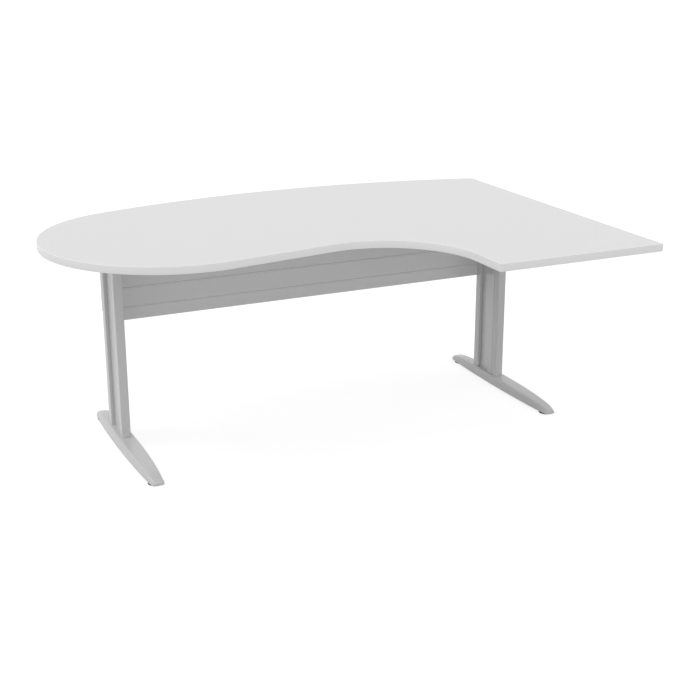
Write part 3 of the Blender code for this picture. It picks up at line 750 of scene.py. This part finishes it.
def arm_section(x, half, top, depth):
    """Folded channel, open below, as a closed loop of (x, z)."""
    quarter = math.pi / 2
    outer_radius = ARM_BEND_RADIUS
    inner_radius = ARM_BEND_RADIUS - ARM_WALL
    low = top - depth
    right = x + half - outer_radius
    left = x - half + outer_radius
    shelf = top - outer_radius
    loop = [(x + half, low)]
    loop += arc((right, shelf), outer_radius, 0, quarter, CORNER_STEPS)
    loop += arc((left, shelf), outer_radius, quarter, math.pi, CORNER_STEPS)
    loop += [(x - half, low), (x - half + ARM_WALL, low)]
    loop += arc((left, shelf), inner_radius, math.pi, quarter, CORNER_STEPS)
    loop += arc((right, shelf), inner_radius, quarter, 0, CORNER_STEPS)
    loop.append((x + half - ARM_WALL, low))
    return loop


def make_arm(side):
    low, high = node_box(f"{side}_support_arm")
    x = (low.x + high.x) / 2
    half = (high.x - low.x) / 2
    depth = high.z - low.z
    stations = (
        (low.y, ARM_END_DEPTH),
        (low.y + ARM_TAPER_LENGTH, depth),
        (high.y - ARM_TAPER_LENGTH, depth),
        (high.y, ARM_END_DEPTH),
    )
    bm = bmesh.new()
    rings = []
    for y, deep in stations:
        rings.append([(px, y, pz) for px, pz in arm_section(x, half, high.z, deep)])
    skin(bm, rings)
    arm = mesh_piece(f"{side}_arm_channel", bm, MATERIALS["silver_paint"], ARM_SMOOTH_ANGLE)
    dress(arm, ROOT, "silver_paint", f"{side}_support_arm")


def make_rail(end):
    low, high = node_box(f"{end}_cross_rail")
    bm = bmesh.new()
    rings = []
    for x, inset in (
        (low.x, RAIL_END_ROUND),
        (low.x + RAIL_END_ROUND, 0),
        (high.x - RAIL_END_ROUND, 0),
        (high.x, RAIL_END_ROUND),
    ):
        corner_low = (low.y + inset, low.z + inset)
        corner_high = (high.y - inset, high.z - inset)
        loop = rounded_rectangle(corner_low, corner_high, RAIL_CORNER_RADIUS - inset)
        rings.append([(x, y, z) for y, z in loop])
    skin(bm, rings)
    rail = mesh_piece(f"{end}_rail_tube", bm, MATERIALS["silver_paint"], RAIL_SMOOTH_ANGLE)
    dress(rail, ROOT, "silver_paint", f"{end}_cross_rail")


# Modesty panel


def bead_rise(share):
    """Height of the bead as a share, from its sharp lower edge over the crest to its soft upper edge."""
    if share < BEAD_CREST_SHARE:
        return math.sin(math.pi / 2 * share / BEAD_CREST_SHARE)
    return math.sin(math.pi / 2 * (1 - share) / (1 - BEAD_CREST_SHARE)) ** 2


def panel_path(low, high, front):
    """Side view of the sheet as (y, z): lips folded back at the bottom and top, and rounded beads."""
    radius = PANEL_BEND_RADIUS
    quarter = math.pi / 2
    path = [(front + PANEL_LIP, low)]
    path += arc((front + radius, low + radius), radius, 3 * quarter, math.pi, CORNER_STEPS)
    first = (low + high - BEAD_SPACING * (BEAD_COUNT - 1)) / 2
    for bead in range(BEAD_COUNT):
        for i in range(BEAD_STEPS + 1):
            share = i / BEAD_STEPS
            z = first + BEAD_SPACING * bead + BEAD_WIDTH * (share - 1 / 2)
            path.append((front - BEAD_HEIGHT * bead_rise(share), z))
    path += arc((front + radius, high - radius), radius, math.pi, quarter, CORNER_STEPS)
    path.append((front + PANEL_LIP, high))
    return path


def offset_path(path, distance):
    """The path moved sideways to its right by the distance, with mitred corners."""
    moved = []
    for i, point in enumerate(path):
        before = Vector(path[max(i - 1, 0)])
        after = Vector(path[min(i + 1, len(path) - 1)])
        here = Vector(point)
        normals = []
        for a, b in ((before, here), (here, after)):
            if (b - a).length > 0:
                heading = (b - a).normalized()
                normals.append(Vector((heading.y, -heading.x)))
        middle = sum(normals, Vector((0, 0))).normalized()
        moved.append(here + middle * distance / max(middle.dot(normals[0]), MITRE_LIMIT))
    return moved


def make_panel():
    low, high = node_box("modesty_panel")
    front = low.y + BEAD_HEIGHT
    path = panel_path(low.z, high.z, front)
    inside = offset_path(path, PANEL_SHEET)
    notches = []
    for side in SIDES:
        arm_low, arm_high = node_box(f"{side}_support_arm")
        notches.append((arm_high.x if side == "left" else arm_low.x, arm_low.z - ARM_NOTCH_GAP))
    inner = (notches[0][0] + ARM_NOTCH_GAP, notches[1][0] - ARM_NOTCH_GAP)
    cut = notches[0][1]
    loop = path + [tuple(point) for point in reversed(inside)]
    bm = bmesh.new()
    rings = [[(x, y, z) for y, z in loop] for x in (low.x, high.x)]
    skin(bm, rings)
    # A lighter copy of the legs' paint: painted light against the worktop's shade on the panel
    paint = paint_material("panel_coat_lightened_against_shade", PANEL_PAINTED_LIGHT_TONE)
    panel = mesh_piece("modesty_sheet", bm, paint, PANEL_SMOOTH_ANGLE)
    for x_from, x_to in ((low.x - PANEL_LIP, inner[0]), (inner[1], high.x + PANEL_LIP)):
        bm = bmesh.new()
        bmesh.ops.create_cube(bm, size=1)
        size = (x_to - x_from, NOTCH_CUTTER_SHARE * PANEL_LIP, 2 * (high.z - cut))
        middle = Vector(((x_from + x_to) / 2, front, high.z))
        bmesh.ops.transform(bm, matrix=Matrix.LocRotScale(middle, None, size), verts=bm.verts)
        cutter = mesh_piece("notch", bm, paint)
        carve(panel, cutter)
    dress(panel, ROOT, "silver_paint", "modesty_panel")
    make_studs(front + PANEL_SHEET, high.y)


# Turned and threaded pieces


def ring(radius, height, steps=BOLT_STEPS):
    """A ring of points about Z; the radius may be a function of the angle."""
    points = []
    for i in range(steps):
        angle = math.tau * i / steps
        reach = radius(angle) if callable(radius) else radius
        points.append((reach * math.cos(angle), reach * math.sin(angle), height))
    return points


def hexagon(across):
    """Radius of a hexagon, by the width across its flats."""
    sector = math.pi / 3
    return lambda angle: across / 2 / math.cos((angle + sector / 2) % sector - sector / 2)


def cross(length, width):
    """Radius of a cross-shaped recess."""
    sector = math.pi / 2

    def reach(angle):
        off = abs((angle + sector / 2) % sector - sector / 2)
        return min(length / 2, width / 2 / max(math.sin(off), width / length))

    return reach


def thread(radius, depth, pitch, low, high):
    """Rings of a threaded bar, from low to high."""
    count = max(2, round((high - low) / pitch * THREAD_STEPS))
    rings = []
    for i in range(count + 1):
        height = low + (high - low) * i / count
        fade = min(1, min(i, count - i) / THREAD_STEPS)

        def reach(angle, height=height, fade=fade):
            phase = (height / pitch - angle / math.tau) % 1
            return radius - depth * fade * abs(2 * phase - 1)

        rings.append(ring(reach, height))
    return rings


def screw_piece(name, rings, matrix, material, angle=BOLT_SMOOTH_ANGLE):
    bm = bmesh.new()
    skin(bm, rings)
    bmesh.ops.transform(bm, matrix=matrix, verts=bm.verts)
    return mesh_piece(name, bm, material, angle)


def head_rings(radius, height, drive, depth, steps):
    """Rings of a bolt's head, from the floor of its recess round to its underside at zero."""
    crown = height * HEAD_DOME_SHARE
    inner = radius * HEAD_FLAT_SHARE
    rings = [
        ring(RECESS_CENTRE_RADIUS, depth - height, steps),
        ring(drive, depth - height, steps),
        ring(lambda angle: drive(angle) * RECESS_FLARE_SHARE, -height, steps),
        ring(inner, -height, steps),
    ]
    for i in range(1, CORNER_STEPS + 1):
        turn = math.pi / 2 * i / CORNER_STEPS
        reach = inner + (radius - inner) * math.sin(turn)
        rings.append(ring(reach, -height + crown * (1 - math.cos(turn)), steps))
    rings.append(ring(radius, -HEAD_EDGE, steps))
    rings.append(ring(radius - HEAD_EDGE, 0, steps))
    return rings


AXES = {
    "+Z": Matrix.Identity(4),
    "+X": Matrix.Rotation(math.radians(90), 4, "Y"),
    "-X": Matrix.Rotation(math.radians(-90), 4, "Y"),
    "+Y": Matrix.Rotation(math.radians(-90), 4, "X"),
    "-Y": Matrix.Rotation(math.radians(90), 4, "X"),
}


def box_middle(name):
    """Middle and size of a node's box."""
    low, high = node_box(name)
    return (low + high) / 2, high - low


def make_fastener(name, axis, head_height, shank_radius, drive, drive_depth, steps=BOLT_STEPS):
    """A bolt or screw in the place of its node, its shank pointing along the axis."""
    middle, size = box_middle(name)
    letter = "XYZ".index(axis[1])
    sign = 1 if axis[0] == "+" else -1
    length = size[letter] - head_height
    head_radius = size[(letter + 1) % 3] / 2
    seat = middle.copy()
    seat[letter] -= sign * (size[letter] / 2 - head_height)
    rings = head_rings(head_radius, head_height, drive, drive_depth, steps)
    rings.append(ring(shank_radius, 0, steps))
    rings.append(ring(shank_radius, length * POINT_START_SHARE, steps))
    rings.append(ring(shank_radius * POINT_WIDTH_SHARE, length, steps))
    matrix = Matrix.Translation(seat) @ AXES[axis]
    piece = screw_piece(f"{name}_steel", rings, matrix, MATERIALS["zinc_steel"])
    dress(piece, ROOT, "zinc_steel", name)


def make_bolts():
    bolt = (BOLT_HEAD_HEIGHT, BOLT_RADIUS, hexagon(BOLT_KEY_WIDTH), BOLT_KEY_DEPTH)
    top_screw = (
        TOP_SCREW_HEAD_HEIGHT,
        TOP_SCREW_RADIUS,
        cross(CROSS_LENGTH, CROSS_WIDTH),
        CROSS_DEPTH,
        CROSS_STEPS,
    )
    strap_screw = (
        STRAP_SCREW_HEAD_HEIGHT,
        STRAP_SCREW_RADIUS,
        hexagon(STRAP_SCREW_KEY_WIDTH),
        STRAP_SCREW_KEY_DEPTH,
    )
    for side in SIDES:
        inwards = "+X" if side == "left" else "-X"
        for end in ENDS:
            make_fastener(f"{side}_{end}_foot_bolt", "+Z", *bolt)
            make_fastener(f"{end}_rail_bolt_{side}", inwards, *bolt)
        for i in range(1, TOP_SCREW_COUNT + 1):
            make_fastener(f"{side}_worktop_screw_{i}", "+Z", *top_screw)
        for level in LEVELS:
            make_fastener(f"{side}_{level}_strap_screw", "-Y", *strap_screw)


def make_nut(name, across, height, middle):
    """A hexagon nut with chamfered corners, its bore open, along Y."""
    flats = hexagon(across)
    corner = across / 2 / math.cos(math.pi / 6)
    chamfer = (corner - across / 2) * NUT_CHAMFER_SHARE
    rise = chamfer * NUT_CHAMFER_RISE_SHARE
    bore = STUD_RADIUS + HOLE_PLAY
    half = height / 2

    def clipped(limit):
        return lambda angle: min(flats(angle), limit)

    rings = [
        ring(bore, -half, NUT_STEPS),
        ring(clipped(corner - chamfer), -half, NUT_STEPS),
        ring(clipped(corner), rise - half, NUT_STEPS),
        ring(clipped(corner), half - rise, NUT_STEPS),
        ring(clipped(corner - chamfer), half, NUT_STEPS),
        ring(bore, half, NUT_STEPS),
    ]
    bm = bmesh.new()
    skin(bm, rings, looped=True)
    turn = Matrix.Translation(middle) @ AXES["+Y"] @ Matrix.Rotation(math.pi / 6, 4, "Z")
    bmesh.ops.transform(bm, matrix=turn, verts=bm.verts)
    return mesh_piece(name, bm, MATERIALS["zinc_steel"], NUT_SMOOTH_ANGLE)


def make_studs(start, end):
    """Threaded studs welded to the panel's back, and the nuts on them."""
    length = end - start
    thread_end = length - STUD_THREAD_INSET
    zinc = MATERIALS["zinc_steel"]
    for side in SIDES:
        for level in LEVELS:
            middle, size = box_middle(f"{side}_{level}_panel_nut")
            rings = [
                ring(STUD_RADIUS * STUD_WELD_SHARE, 0),
                ring(STUD_RADIUS, STUD_RADIUS * STUD_WELD_HEIGHT_SHARE),
            ]
            rings += thread(STUD_RADIUS, STUD_THREAD_DEPTH, STUD_PITCH, STUD_THREAD_START, thread_end)
            rings.append(ring(STUD_RADIUS * STUD_TIP_SHARE, length))
            seat = Matrix.Translation((middle.x, start, middle.z)) @ AXES["+Y"]
            stud = screw_piece(f"{side}_{level}_weld_stud", rings, seat, zinc)
            dress(stud, ROOT, "zinc_steel")
            nut = make_nut(f"{side}_{level}_hex_nut", min(size.x, size.z), size.y, middle)
            dress(nut, ROOT, "zinc_steel", f"{side}_{level}_panel_nut")


def make_strap(side):
    """A flat strap with rounded corners, behind the rear post and the panel's end."""
    low, high = node_box(f"{side}_panel_strap")
    loops = [rounded_rectangle((low.x, low.z), (high.x, high.z), STRAP_CORNER_RADIUS)]
    for level in LEVELS:
        for name, radius in (
            (f"{side}_{level}_panel_nut", STUD_RADIUS),
            (f"{side}_{level}_strap_screw", STRAP_SCREW_RADIUS),
        ):
            middle, _ = box_middle(name)
            loops.append(circle((middle.x, middle.z), radius + HOLE_PLAY))
    front_view = Matrix(((1, 0, 0, 0), (0, 0, -1, 0), (0, 1, 0, 0), (0, 0, 0, 1)))
    place = Matrix.Translation((0, (low.y + high.y) / 2, 0)) @ front_view
    strap = plate(f"{side}_strap_plate", loops, high.y - low.y, place, MATERIALS["silver_paint"])
    bevel = strap.modifiers.new("rounded edges", "BEVEL")
    bevel.width = STRAP_EDGE_ROUND
    bevel.segments = STRAP_ROUND_STEPS
    bevel.limit_method = "ANGLE"
    bevel.angle_limit = math.radians(STRAP_ROUND_ANGLE)
    dress(strap, ROOT, "silver_paint", f"{side}_panel_strap")


# Levelling glides


def pad_section(radius, height):
    """Half section of a pad as (radius, height): bore, hub, rounded plate and the recess below."""
    quarter = math.pi / 2
    rim = FOOT_RIM_HEIGHT - PAD_GAP
    bore = STEM_RADIUS + GLIDE_BORE_PLAY
    foot_round = GLIDE_ROUND * GLIDE_FOOT_ROUND_SHARE
    recess_start, recess_end = GLIDE_RECESS_SHARES
    section = [
        (GLIDE_CENTRE_RADIUS, GLIDE_FLOOR),
        (bore, GLIDE_FLOOR),
        (bore, height - GLIDE_BORE_CHAMFER),
        (bore + GLIDE_BORE_CHAMFER, height),
        (GLIDE_HUB_RADIUS - GLIDE_HUB_CHAMFER, height),
        (GLIDE_HUB_RADIUS, height - GLIDE_HUB_CHAMFER),
        (GLIDE_HUB_RADIUS, rim + GLIDE_HUB_FILLET),
        (GLIDE_HUB_RADIUS + GLIDE_HUB_FILLET, rim),
    ]
    section += arc((radius - GLIDE_ROUND, rim - GLIDE_ROUND), GLIDE_ROUND, quarter, 0, CORNER_STEPS)
    section += arc((radius - foot_round, foot_round), foot_round, 0, -quarter, CORNER_STEPS)
    section += [
        (radius * recess_start, 0),
        (radius * recess_end, GLIDE_RECESS_DEPTH),
        (GLIDE_CENTRE_RADIUS, GLIDE_RECESS_DEPTH),
    ]
    return section


def make_glide(side, end):
    low, high = node_box(f"{side}_{end}_glide_pad")
    x = (low.x + high.x) / 2
    y = (low.y + high.y) / 2
    section = pad_section((high.x - low.x) / 2, high.z)
    rings = [ring(radius, z, GLIDE_STEPS) for radius, z in section]
    place = Matrix.Translation((x, y, low.z))
    plastic = MATERIALS["black_plastic"]
    pad = screw_piece(f"{side}_{end}_glide_disc", rings, place, plastic, GLIDE_SMOOTH_ANGLE)
    dress(pad, f"{side}_{end}_pad", "black_plastic", f"{side}_{end}_glide_pad")
    low, high = node_box(f"{side}_{end}_glide_stem")
    length = high.z - low.z
    thread_end = length - STEM_THREAD_INSET
    rings = [ring(STEM_RADIUS * STEM_TIP_SHARE, 0)]
    rings += thread(STEM_RADIUS, STEM_THREAD_DEPTH, STEM_PITCH, STEM_THREAD_INSET, thread_end)
    rings.append(ring(STEM_RADIUS * STEM_TIP_SHARE, length))
    place = Matrix.Translation((x, y, low.z))
    zinc = MATERIALS["zinc_steel"]
    stem = screw_piece(f"{side}_{end}_threaded_stem", rings, place, zinc, GLIDE_SMOOTH_ANGLE)
    dress(stem, f"{side}_{end}_stem", "zinc_steel", f"{side}_{end}_glide_stem")


# Studio


def soft_lamp(name, azimuth, height, softness, strength):
    """Far soft lamp: azimuth from the right side towards the rear, both angles in degrees."""
    lamp = bpy.data.lights.new(name, "SUN")
    lamp.angle = math.radians(softness)
    lamp.energy = strength
    made = bpy.data.objects.new(name, lamp)
    turn, lift = math.radians(azimuth), math.radians(height)
    level = math.cos(lift)
    heading = Vector((math.cos(turn) * level, math.sin(turn) * level, math.sin(lift)))
    made.rotation_euler = heading.to_track_quat("Z", "Y").to_euler()
    made.location = heading * LAMP_DISTANCE
    bpy.context.scene.collection.objects.link(made)


def seen_ray(tree, path):
    """One for camera, glossy and transmission rays, else zero."""
    total = path.outputs["Is Camera Ray"]
    for name in ("Is Glossy Ray", "Is Transmission Ray"):
        more = node(tree, "ShaderNodeMath", operation="MAXIMUM")
        tree.links.new(total, more.inputs[0])
        tree.links.new(path.outputs[name], more.inputs[1])
        total = more.outputs[0]
    return total


def floor_material():
    """White floor: what the camera sees is white where no shadow falls."""
    material = bpy.data.materials.new("studio_floor")
    material.use_nodes = True
    tree = material.node_tree
    tree.nodes.remove(tree.nodes["Principled BSDF"])
    path = tree.nodes.new("ShaderNodeLightPath")
    matt = node(tree, "ShaderNodeBsdfDiffuse", Color=(*grey(FLOOR_COLOUR), 1))
    seen = node(tree, "ShaderNodeBsdfDiffuse", Color=(*grey(FLOOR_SHADE), 1))
    glow = node(tree, "ShaderNodeEmission", Color=(1, 1, 1, 1), Strength=FLOOR_GLOW)
    both = tree.nodes.new("ShaderNodeAddShader")
    tree.links.new(seen.outputs[0], both.inputs[0])
    tree.links.new(glow.outputs[0], both.inputs[1])
    mix = tree.nodes.new("ShaderNodeMixShader")
    tree.links.new(seen_ray(tree, path), mix.inputs[0])
    tree.links.new(matt.outputs[0], mix.inputs[1])
    tree.links.new(both.outputs[0], mix.inputs[2])
    tree.links.new(mix.outputs[0], tree.nodes["Material Output"].inputs["Surface"])
    return material


def make_studio():
    bm = bmesh.new()
    bmesh.ops.create_grid(bm, x_segments=FLOOR_STEPS, y_segments=FLOOR_STEPS, size=FLOOR_REACH)
    floor = mesh_piece("floor", bm, floor_material())
    world = bpy.data.worlds.new("studio_world")
    bpy.context.scene.world = world
    world.use_nodes = True
    tree = world.node_tree
    back = tree.nodes["Background"]
    back.inputs["Color"].default_value = (1, 1, 1, 1)
    path = tree.nodes.new("ShaderNodeLightPath")
    span = node(tree, "ShaderNodeMapRange")
    span.inputs["To Min"].default_value = WORLD_LIGHT
    span.inputs["To Max"].default_value = WORLD_SEEN
    tree.links.new(seen_ray(tree, path), span.inputs["Value"])
    tree.links.new(span.outputs["Result"], back.inputs["Strength"])
    for lamp in LAMPS:
        soft_lamp(*lamp)


def make_camera():
    camera = bpy.data.cameras.new("camera")
    camera.lens = CAMERA_LENS
    camera.sensor_width = SENSOR_WIDTH
    camera.sensor_fit = "HORIZONTAL"
    camera.dof.use_dof = False
    camera.clip_end = CAMERA_REACH
    made = bpy.data.objects.new("camera", camera)
    made.location = CAMERA_PLACE
    made.rotation_euler = (math.pi / 2 - CAMERA_PITCH, 0, -CAMERA_YAW)
    bpy.context.scene.collection.objects.link(made)
    bpy.context.scene.camera = made


def dress_nodes():
    """Every node that still shows takes the material of its slot."""
    for subpart in frame["record"]["subparts"]:
        piece = frame["nodes"][subpart["node"]]
        piece.data.materials.clear()
        piece.data.materials.append(MATERIALS[subpart["material_slot"]])


def make_desk():
    dress_nodes()
    make_worktop()
    for side in SIDES:
        make_foot(side)
        make_web(side)
        make_arm(side)
        make_strap(side)
        for end in ENDS:
            make_post(side, end)
            make_glide(side, end)
    for end in ENDS:
        make_rail(end)
    make_panel()
    make_bolts()


make_desk()
make_studio()
make_camera()
bpy.context.scene.view_settings.view_transform = "Standard"
